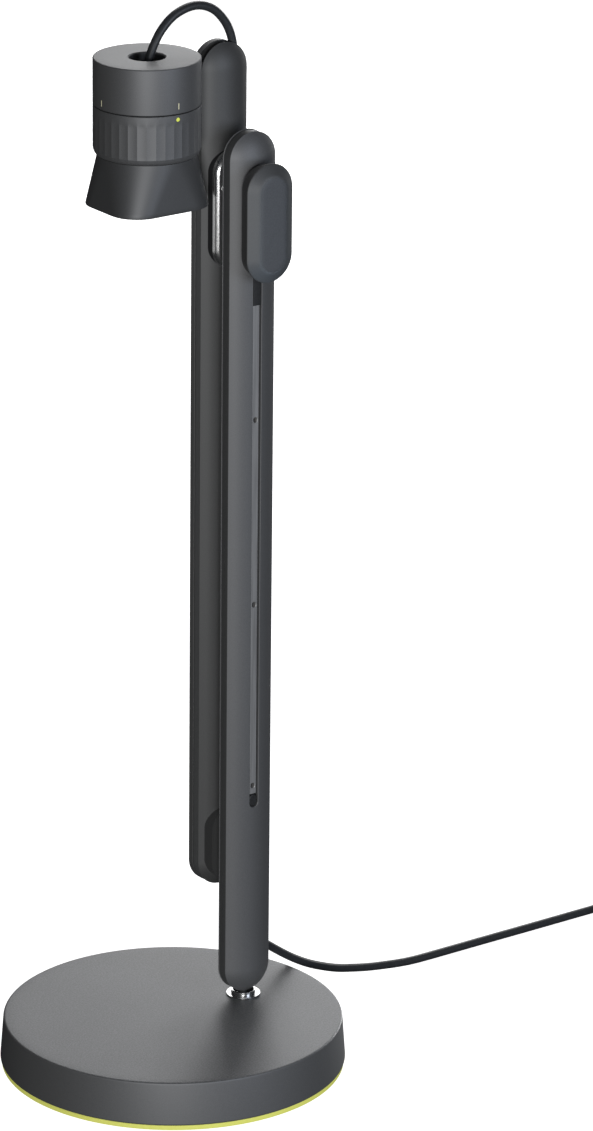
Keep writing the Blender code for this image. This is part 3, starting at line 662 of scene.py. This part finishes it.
def make_plug():
    """The USB-C plug body, its metal shell and the tie over the coil."""
    low, high = span("usb_plug")
    profile = [(2.4, high[1]), (0.9, high[1], 0.8), (0.0, high[1] - 3.0, 2.0), (0.0, low[1], 0.8),
               (1.5, low[1])]
    rings = flat_rings("usb_plug", profile, 4)
    plug = put("plug_body", *loft(rings), BLACK, "base", ["usb_plug"], "black_plastic")
    low, high = span("usb_plug_shell")
    profile = [(0.0, high[1]), (0.0, low[1], 0.3), (0.35, low[1], 0.1), (0.35, high[1] - 1.0)]
    rings = flat_rings("usb_plug_shell", profile, 2)
    shell = put("plug_shell", *loft(rings), STEEL, "base", ["usb_plug_shell"], "steel")

    low, high = span("coil_tie")
    x0, x1, top = low[0], high[0], high[2]
    thick = 0.9
    outline = [(x0, low[2]), (x0, top, 2.4), (x1, top, 2.4), (x1, low[2]), (x1 - thick, low[2]),
               (x1 - thick, top - thick, 1.8), (x0 + thick, top - thick, 1.8), (x0 + thick, low[2])]
    section = eased(outline, True, 5)
    rings = [[(px, y, pz) for px, pz in section] for y in (low[1], low[1] + 0.25, high[1] - 0.25, high[1])]
    tie = put("coil_wrap", *loft(rings), BLACK, "base", ["coil_tie"], "black_plastic")
    return [plug, shell, tie]


on_cord = make_plug()


# ---------------------------------------------------------------- base

BASE_TOP_R = 80.9
SPINDLE_HOLE_R = 5.6
SIDE_STEEPNESS = 0.7


def make_base():
    """The lime foot pad, and the grey cover with a speckled top, a plain side and the spindle's hole."""
    low, high = span("foot_pad")
    r = high[0]
    profile = [(r - 6, low[2]), (r, low[2], 0.3), (r, high[2] - 0.3, 0.2), (r - 0.3, high[2])]
    lathe("foot_disc", 0, 0, profile, LIME, "base", ["foot_pad"], "lime_silicone", 160)
    low, high = span("base_cover")
    foot_r, z0, z1 = high[0], low[2], high[2]
    profile = [(foot_r - 4.5, z1 - 2.2, 0.5), (foot_r - 2.8, z0), (foot_r - 0.4, z0, 0.3),
               (foot_r, z0 + 0.5, 0.5), (BASE_TOP_R, z1, 1.1), (BASE_TOP_R - 6.0, z1),
               (BASE_TOP_R - 30.0, z1)]
    cover = lathe("base_shell", 0, 0, profile, SPECKLE, "base", ["base_cover"], "graphite", 192, steps=6)
    hole = [(SPINDLE_HOLE_R, z1 - 8), (SPINDLE_HOLE_R, z1 + 8)]
    carve(cover, well_tool(middle("pivot_collar", 0), 0, hole))
    cover.data.materials.append(SIDE)
    for face in cover.data.polygons:
        face.material_index = 1 if abs(face.normal.z) < SIDE_STEEPNESS else 0
    for node, mat in (("base_plate", STEEL), ("base_weight", STEEL), ("swivel_bush", BEARING)):
        coat(node, mat)
    for k in range(4):
        coat(f"base_screw_{k + 1}", STEEL)


def coat(node, mat):
    """Give a CAD node that stays its finish."""
    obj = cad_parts[node]
    if not obj.material_slots:
        obj.data.materials.append(mat)
    for place in obj.material_slots:
        place.material = mat


make_base()


# ---------------------------------------------------------------- post

POST_X = middle("post_spine", 0)
HALF_W = spread("post_front_cover", 0)[1]
CROWN = 4.95
CREASE = 0.45
COVER_SHARP = 25.0
FRONT_SLOT = (2.4, 2.85)
REAR_SLOT = (4.4, 4.8)
REAR_SLOT_Z = (112.0, 432.0)
COLLAR_R_TRIM = 0.45
COLLAR_NECK_R = 5.95
COLLAR_FLANGE = 0.6
RAIL_HALF_W = 1.93
RAIL_FORWARD = 0.35
RAIL_HOLE_Z = 133.1
RAIL_HOLE_PITCH = 91.25


def crown_rise(off_axis):
    """How far a cover's crown stands out of its edge plane at a distance from its middle line."""
    radius = (HALF_W**2 + CROWN**2) / (2 * CROWN)
    return math.sqrt(max(0.0, radius**2 - off_axis**2)) - (radius - CROWN)


def crown_profile(edge_y, back_y, out):
    """(inset, y) points of a cover: flat back, straight edge, soft crease and crown."""
    points = [(6.0, back_y), (0.2, back_y), (0.0, back_y + out * 0.12)]
    first = HALF_W - 0.55
    crease = [(0.0, edge_y - out * 0.05), (0.0, edge_y + out * 0.12, CREASE),
              (0.55, edge_y + out * crown_rise(first))]
    points += eased(crease, steps=5)
    steps = 22
    for k in range(1, steps):
        half_w = first * (math.cos(math.pi / 2 * k / steps) if k < steps - 1 else 0.05)
        points.append((HALF_W - half_w, edge_y + out * crown_rise(half_w)))
    return points


def cover(name, node, edge_y, out, body, back_y):
    """A fine crowned cover in a CAD cover's place."""
    cz, half_h = spread(node, 2)
    profile = crown_profile(edge_y, back_y, out)
    rings = [stadium(POST_X, cz, HALF_W - d, half_h - d, y, 32) for d, y in profile]
    # The arm's covers take the darker copy of the graphite: painted shade.
    mat = SHADED_GRAPHITE if body == "arm" else GRAPHITE
    return put(name, *loft(rings), mat, body, [node], "graphite", COVER_SHARP)


def slot_stages(widths, apex, out, deep):
    """A cutter's steps for a slot in a crown: a small bevel at the crown's top, then straight in.

    Widths are half the slot's width and half its lip's; out is 1 or -1, the way the crown faces along Y.
    """
    half_w, lip = widths
    return [(lip, apex + out), (lip, apex + 0.02 * out), (half_w, apex - 0.4 * out), (half_w, deep)]


def gland_rings(profile, segs):
    """Circles about the slanted line on which the cable leaves the post, from distances and radii."""
    side = GLAND_WAY.cross(Vector((0, 0, 1))).normalized()
    up = side.cross(GLAND_WAY)
    turns = [TAU * i / segs for i in range(segs)]
    return [[GLAND_AT + GLAND_WAY * along + side * (r * math.cos(t)) + up * (r * math.sin(t)) for t in turns]
            for along, r in profile]


def make_post():
    """Covers with their slots, dark spine, chrome collar, rail, stops and gland."""
    low, high = span("post_front_cover")
    apex = low[1]
    edge = apex + CROWN
    slot_z = (span("lower_stop")[0][2] - 0.3, span("upper_stop")[1][2] + 0.3)
    front = cover("post_front", "post_front_cover", edge, -1, "post", high[1])
    carve(front, slot_tool(POST_X, slot_z, slot_stages(FRONT_SLOT, apex, -1, 3.0)), sharp=COVER_SHARP)
    low, high = span("post_rear_cover")
    apex = high[1]
    rear = cover("post_rear", "post_rear_cover", apex - CROWN, 1, "post", low[1])
    carve(rear, slot_tool(POST_X, REAR_SLOT_Z, slot_stages(REAR_SLOT, apex, 1, -3.0)), sharp=COVER_SHARP)

    low, high = span("post_spine")
    half_w = spread("post_spine", 0)[1]
    cz, half_h = spread("post_spine", 2)
    profile = [(0.0, low[1], 0.3), (0.0, high[1], 0.3), (2.2, high[1], 0.2), (2.2, low[1], 0.2)]
    spine = oval("post_band", POST_X, cz, half_w, half_h, profile, BAND, "post", ["post_spine"],
                 "black_plastic", True)
    bore = gland_rings([(-4.0, 1.9), (4.0, 1.9)], 24)
    carve(spine, cutter(*loft(bore)), well_tool(POST_X, 0, [(2.2, 20), (2.2, 34)], 24))
    carve(rear, cutter(*loft(bore)), sharp=COVER_SHARP)

    low, high = span("pivot_collar")
    r = spread("pivot_collar", 0)[1] - COLLAR_R_TRIM
    foot, top = low[2], low[2] + COLLAR_FLANGE
    profile = [(5.0, foot, 0.2), (r, foot, 0.1), (r, top, 0.12), (COLLAR_NECK_R, top + 0.02),
               (COLLAR_NECK_R, high[2], 0.2), (5.0, high[2], 0.2)]
    lathe("collar_ring", POST_X, 0, profile, SATIN, "post", ["pivot_collar"], "chrome", 96, True, 6)

    low, high = span("guide_rail")
    w, face, back = RAIL_HALF_W, low[1] - RAIL_FORWARD, high[1]
    section = eased([(-w, back, 0.2), (-w, face, 0.45), (w, face, 0.45), (w, back, 0.2)], True, 3)
    rings = [[(POST_X + px, y, z) for px, y in section] for z in (low[2], high[2])]
    rail = put("slot_rail", *loft(rings), RAIL, "post", ["guide_rail"], "steel")
    holes = []
    for k in range(3):
        z = RAIL_HOLE_Z + RAIL_HOLE_PITCH * k
        stages = [(1.3, face - 0.5), (1.3, face - 0.01), (1.0, face + 0.3), (1.0, back + 1.0)]
        holes.append(slot_tool(POST_X, (z - 1.3, z + 1.3), stages))
    carve(rail, *holes)

    for node in ("lower_stop", "upper_stop"):
        low, high = span(node)
        half_w = spread(node, 0)[1]
        cz, half_h = spread(node, 2)
        profile = [(0.0, high[1], 0.2), (0.0, low[1], 0.5), (1.2, low[1] + 0.1)]
        oval(node.replace("stop", "buffer"), POST_X, cz, half_w, half_h, profile, BLACK, "post", [node],
             "black_rubber", segs=14)

    profile = [(1.0, -1.6), (1.6, -1.6, 0.2), (1.6, 2.1), (2.6, 2.1, 0.4), (2.5, 3.2), (2.5, 4.4, 0.4),
               (2.2, 5.2, 0.3), (2.2, 6.4, 0.2), (1.2, 6.4)]
    rings = gland_rings([(along, r) for r, along in eased(profile, steps=3)], 32)
    put("gland_boot", *loft(rings), RUBBER, "post", ["cable_gland"], "black_rubber")
    coat("post_spindle", STEEL)
    coat("post_foot_block", STEEL)


make_post()


# ---------------------------------------------------------------- carriage


def make_carriage():
    """The grip with its bevelled rim and soft pad, the black neck in the slot and the chrome boss behind."""
    low, high = span("grip_handle")
    half_w = spread("grip_handle", 0)[1]
    cz, half_h = spread("grip_handle", 2)
    back, face = high[1], low[1]
    rim = face + 3.3
    profile = [
        (10.85, back),
        (10.85, back - 1.6),
        (2.0, back - 1.6, 0.8),
        (0.3, rim + 1.2, 2.0),
        (0.0, rim + 0.5, 0.4),
        (0.0, rim, 0.9),
        (5.0, face + 0.15, 1.6),
        (6.0, face + 0.02),
        (6.0, face + 1.4),
    ]
    # The grip takes the darker copy of the graphite: painted shade.
    oval("grip_body", POST_X, cz, half_w, half_h, profile, SHADED_GRAPHITE, "carriage", ["grip_handle"], "graphite",
         segs=32, steps=6)
    low, high = span("grip_pad")
    half_w = spread("grip_pad", 0)[1] + 0.05
    half_h = spread("grip_pad", 2)[1] + 0.05
    profile = [(0.0, high[1]), (0.0, low[1] + 0.25, 0.1), (0.9, low[1] + 0.02, 0.8), (2.5, low[1] - 0.05)]
    oval("grip_inlay", POST_X, cz, half_w, half_h, profile, PAD, "carriage", ["grip_pad"], "black_rubber",
         segs=32)

    low, high = span("carriage_neck")
    half_w = spread("carriage_neck", 0)[1]
    inner = half_w - 0.12
    face, back = low[1], high[1]
    outline = [(-half_w, face, 0.3), (half_w, face, 0.3), (half_w, back), (inner, back),
               (inner, face + 0.7), (-inner, face + 0.7), (-inner, back), (-half_w, back)]
    section = eased(outline, True, 3)
    rings = [[(POST_X + px, y, z) for px, y in section] for z in (low[2], high[2])]
    put("slot_neck", *loft(rings), BLACK, "carriage", ["carriage_neck"], "black_plastic")

    low, high = span("coupler_spindle")
    cz = middle("coupler_spindle", 2)
    r = spread("coupler_spindle", 0)[1]
    profile = [(1.7, low[1]), (1.7, 2.4), (4.0, 2.4, 0.3), (4.0, 8.15), (r, 8.15, 0.3), (r, 9.4, 0.5),
               (3.0, 9.4), (3.0, high[1], 0.4), (1.0, high[1])]
    lathe_y("coupler_boss", POST_X, cz, profile, SATIN, "carriage", ["coupler_spindle"], "chrome", 72)
    coat("carriage_block", STEEL)
    coat("glide_upper", BEARING)
    coat("glide_lower", BEARING)


make_carriage()


# ---------------------------------------------------------------- coupler and arm

BOLT_HOLE_R = 3.3
ARM_SLOT_Z = (122.0, 442.0)
ARM_HOLLOW_Z = (112.0, 450.0)


def make_coupler():
    """The chrome plate with rounded edges, and the black saddle hollowed to the arm's crown."""
    low, high = span("coupler_plate")
    half_w = spread("coupler_plate", 0)[1]
    cz, half_h = spread("coupler_plate", 2)
    profile = [(4.0, low[1]), (1.6, low[1], 0.5), (0.0, low[1] + 1.3, 1.0), (0.0, high[1], 0.9),
               (4.0, high[1])]
    plate = oval("coupler_disc", POST_X, cz, half_w, half_h, profile, SATIN, "coupler", ["coupler_plate"],
                 "chrome", segs=36, steps=6)
    bore_z = middle("coupler_spindle", 2)
    bore = [(BOLT_HOLE_R, 0), (BOLT_HOLE_R, 20)]
    carve(plate, round_tool(POST_X, bore_z, bore))
    low, high = span("arm_saddle")
    half_w = spread("arm_saddle", 0)[1]
    cz, half_h = spread("arm_saddle", 2)
    edge = span("arm_front_cover")[0][1] + CROWN
    profile = [(3.0, low[1]), (0.0, low[1], 0.5), (0.0, edge), (3.0, edge)]
    saddle = oval("saddle", POST_X, cz, half_w, half_h, profile, BLACK, "coupler", ["arm_saddle"],
                  "black_plastic", segs=36)
    outline = [(POST_X + 16, edge + 8), (POST_X - 16, edge + 8)]
    steps = 24
    for i in range(-steps, steps + 1):
        x = HALF_W * i / steps
        outline.append((POST_X + x, edge - crown_rise(x) - 0.3))
    carve(saddle, prism_tool(outline, cz - 45, cz + 45), round_tool(POST_X, bore_z, bore))
    coat("arm_shoe", BEARING)


make_coupler()


def make_arm():
    """Covers, dark band open at the tip, the end inlay and the pin."""
    low, high = span("arm_front_cover")
    apex = low[1]
    edge = apex + CROWN
    front = cover("arm_front", "arm_front_cover", edge, -1, "arm", high[1])
    stages = slot_stages(FRONT_SLOT, apex, -1, high[1] + 3.0)
    inlay_z, inlay_h = spread("arm_end_inlay", 2)
    inlay_w = spread("arm_end_inlay", 0)[1]
    gap = 0.3
    rings = [stadium(POST_X, inlay_z, inlay_w + gap, inlay_h + gap, y, 32) for y in (12.0, edge)]
    room = cutter(*loft(rings))
    pin_z = middle("tip_pin", 2)
    pin = [(2.8, 16.9), (2.8, 27.6)]
    slot = slot_tool(POST_X, ARM_SLOT_Z, stages)
    carve(front, slot, room, round_tool(POST_X, pin_z, pin), sharp=COVER_SHARP)

    low, high = span("arm_rear_cover")
    rear = cover("arm_rear", "arm_rear_cover", high[1] - CROWN, 1, "arm", low[1])
    carve(rear, round_tool(POST_X, pin_z, pin), sharp=COVER_SHARP)

    rings = [stadium(POST_X, inlay_z, inlay_w - 1.0, inlay_h - 1.0, edge - 0.3, 32),
             stadium(POST_X, inlay_z, inlay_w, inlay_h, edge - 0.3, 32)]
    for k in range(13):
        half_w = inlay_w * math.cos(math.pi / 2 * k / 12.5)
        half_h = inlay_h - inlay_w + half_w
        rings.append(stadium(POST_X, inlay_z, half_w, half_h, edge - crown_rise(half_w), 32))
    put("arm_inlay", *loft(rings), RUBBER, "arm", ["arm_end_inlay"], "black_rubber")

    low, high = span("arm_spine")
    y0, y1 = low[1], high[1]
    half_w = spread("arm_spine", 0)[1]
    cz, half_h = spread("arm_front_cover", 2)
    half_h -= gap
    profile = [(3.0, y0), (0.0, y0, 0.3), (0.0, y1, 0.3), (3.0, y1)]
    band = oval("arm_band", POST_X, cz, half_w, half_h, profile, BAND, "arm", ["arm_spine"], "black_plastic")
    hollow = slot_tool(POST_X, ARM_HOLLOW_Z, [(10.3, 15), (10.3, 30)])
    x = POST_X
    top = [(x - 20, 15), (x + 20, 15), (x + 20, 30), (x - 20, 30)]
    carve(band, hollow, prism_tool(top, high[2], high[2] + 60))

    low, high = span("tip_pin")
    profile = [(1.5, low[1]), (2.5, low[1], 0.4), (2.5, high[1], 0.4), (1.5, high[1])]
    lathe_y("pin", POST_X, pin_z, profile, STEEL, "arm", ["tip_pin"], "steel", 32)


make_arm()


# ---------------------------------------------------------------- camera head

HEAD_X = middle("camera_housing", 0)
HEAD_Y = middle("camera_housing", 1)
HEAD_R = spread("camera_housing", 0)[1]
TICKS = (("tick_front", 270.7, 471.1), ("tick_left", 179.4, 470.6))
TICK_HALF_W = 0.2
TICK_HALF_H = 1.4
RING_DROP = 1.1
FLUTES = 36
FLUTE_DEPTH = 0.2
RING_SHARP = 12.0
HOOD_TOP_R = 22.9
HOOD_CORNER = 14.0
HOOD_WALL = 1.4


def make_head():
    """The housing with its well, the grommet, the ticks and the bracket."""
    low, high = span("camera_housing")
    seam, top = low[2], high[2]
    inner = HEAD_R - 2.0
    profile = [(12.0, top - 10.5), (12.0, top - 2.0), (inner, top - 2.0), (inner, seam),
               (HEAD_R - 0.3, seam, 0.2), (HEAD_R, seam + 0.3, 0.25), (HEAD_R, top, 0.75),
               (HEAD_R - 6.0, top), (10.5, top)]
    housing = lathe("head_shell", HEAD_X, HEAD_Y, profile, GRAPHITE, "camera", ["camera_housing"],
                    "graphite", 128, steps=6)
    well = [(3.6, top - 20), (3.6, top - 8.9), (8.3, top - 8.9), (8.3, top - 0.5), (8.65, top - 0.15),
            (8.9, top + 0.01), (8.9, top + 2)]
    carve(housing, well_tool(HEAD_X, HEAD_Y, well, 96))
    low, high = span("cable_grommet")
    z0, z1 = low[2], high[2]
    r = spread("cable_grommet", 0)[1]
    profile = [(2.35, z0), (3.3, z0), (3.3, z1 - 1.6), (r, z1 - 1.6, 0.2), (r - 0.4, z1 - 0.4, 0.5),
               (3.4, z1, 0.4), (2.35, z1, 0.2)]
    lathe("head_grommet", HEAD_X, HEAD_Y, profile, RUBBER, "camera", ["cable_grommet"], "black_rubber", 48,
          True, 3)
    for name, degrees, z in TICKS:
        print_tick(name, degrees, z)
    coat("camera_bracket", STEEL)


def print_tick(name, degrees, z):
    """A thin printed tick that follows the housing's side."""
    wide = math.degrees(TICK_HALF_W / HEAD_R)
    steps = 8
    outline = [(degrees - wide + 2 * wide * i / steps, z - TICK_HALF_H) for i in range(steps + 1)]
    outline += [(degrees + wide - 2 * wide * i / steps, z + TICK_HALF_H) for i in range(steps + 1)]
    rings = []
    for r in (HEAD_R - 0.05, HEAD_R + 0.03):
        rings.append([(HEAD_X + r * math.cos(math.radians(a)), HEAD_Y + r * math.sin(math.radians(a)), h)
                      for a, h in outline])
    put(name, *loft(rings), TICK, "camera", (), "yellow_mark")


make_head()


def make_ring():
    """The turning ring: a plain band, then shallow hollow flutes that fade in and out, and a rounded foot."""
    low, high = span("lens_ring")
    z0, z1 = low[2] - RING_DROP, high[2]
    per_flute = 10
    count = FLUTES * per_flute
    depth_at = [(z0 + 1.9, 0.0), (z0 + 4.4, 1.0), (z1 - 5.2, 1.0), (z1 - 3.4, 0.0)]

    def depth(z):
        if z <= depth_at[0][0] or z >= depth_at[3][0]:
            return 0.0
        if z < depth_at[1][0]:
            t = (z - depth_at[0][0]) / (depth_at[1][0] - depth_at[0][0])
        elif z > depth_at[2][0]:
            t = (depth_at[3][0] - z) / (depth_at[3][0] - depth_at[2][0])
        else:
            t = 1.0
        return FLUTE_DEPTH * t * (2.0 - t)

    foot = [(HEAD_R - 3.9, z0 + 0.1), (HEAD_R - 2.4, z0, 0.2), (HEAD_R - 0.9, z0 + 0.8, 1.0),
            (HEAD_R, z0 + 3.0, 1.4)]
    profile = eased(foot, steps=6)
    z = z0 + 4.0
    while z < z1 - 3.3:
        profile.append((HEAD_R, z))
        z += 0.85 if z < z0 + 5.6 or z > z1 - 7.0 else 3.0
    profile += [(HEAD_R, z1 - 3.0), (HEAD_R, z1 - 0.35), (HEAD_R - 0.12, z1 - 0.1), (HEAD_R - 0.4, z1)]
    profile += [(HEAD_R - 3.4, z1)]
    rings = []
    for r, z in profile:
        ring = []
        for i in range(count):
            t = TAU * (i - per_flute / 2) / count
            cut = depth(z) * (1.0 - (2.0 * (i % per_flute) / per_flute - 1.0) ** 2)
            ring.append((HEAD_X + (r - cut) * math.cos(t), HEAD_Y + (r - cut) * math.sin(t), z))
        rings.append(ring)
    ring = put("fluted_ring", *loft(rings, (False, False)), GRAPHITE, "lens", ["lens_ring"], "graphite",
               RING_SHARP)
    z, r = spread("index_dot", 2)
    face = HEAD_Y - HEAD_R
    carve(ring, round_tool(HEAD_X, z, [(1.02, face - 2), (1.02, face + 1.1)], 32), sharp=RING_SHARP)
    profile = [(0.2, face + 0.8), (r, face + 0.8), (r, face, 0.2), (0.4, face - 0.03)]
    lathe_y("ring_dot", HEAD_X, z, profile, DOT, "lens", ["index_dot"], "yellow_mark", 32)


make_ring()


def rounded(half_x, half_y, corner, z):
    """A rounded rectangle across Z about the head's axis."""
    segs = 14
    points = []
    for sx, sy, start in ((1, 1, 0), (-1, 1, 90), (-1, -1, 180), (1, -1, 270)):
        for i in range(segs + 1):
            t = math.radians(start + 90 * i / segs)
            points.append((HEAD_X + sx * (half_x - corner) + corner * math.cos(t),
                           HEAD_Y + sy * (half_y - corner) + corner * math.sin(t), z))
    return points


def make_hood():
    """The flared hood: a round neck that becomes a rounded rectangle at the mouth."""
    z0, z1 = span("lens_hood")[0][2], span("lens_ring")[0][2] - RING_DROP + 0.02
    half_x, half_y = spread("lens_hood", 0)[1], spread("lens_hood", 1)[1]

    def ring(share, inset, z):
        hx = HOOD_TOP_R + (half_x - HOOD_TOP_R) * share - inset
        hy = HOOD_TOP_R + (half_y - HOOD_TOP_R) * share - inset
        c = HOOD_TOP_R + (HOOD_CORNER - HOOD_TOP_R) * share - inset
        return rounded(hx, hy, min(c, hx - 0.01, hy - 0.01), z)

    def flare(share, inset):
        return ring(share, inset, z1 + (z0 + 0.35 - z1) * share)

    steps = 12
    rings = [flare(k / steps, 0.0) for k in range(steps + 1)]
    for inset, z in ((0.1, z0 + 0.1), (0.35, z0), (HOOD_WALL - 0.35, z0), (HOOD_WALL - 0.1, z0 + 0.1)):
        rings.append(ring(1.0, inset, z))
    rings += [flare(1.0 - k / steps, HOOD_WALL) for k in range(steps + 1)]
    put("hood_shell", *loft(rings, (False, False)), HOOD, "lens", ["lens_hood"], "hood_plastic", 40.0)
    coat("lens_barrel", BLACK)
    coat("lens_glass", GLASS)
    coat("sensor_board", BOARD)
    coat("image_sensor", BLACK)


make_hood()
make_small_lights()
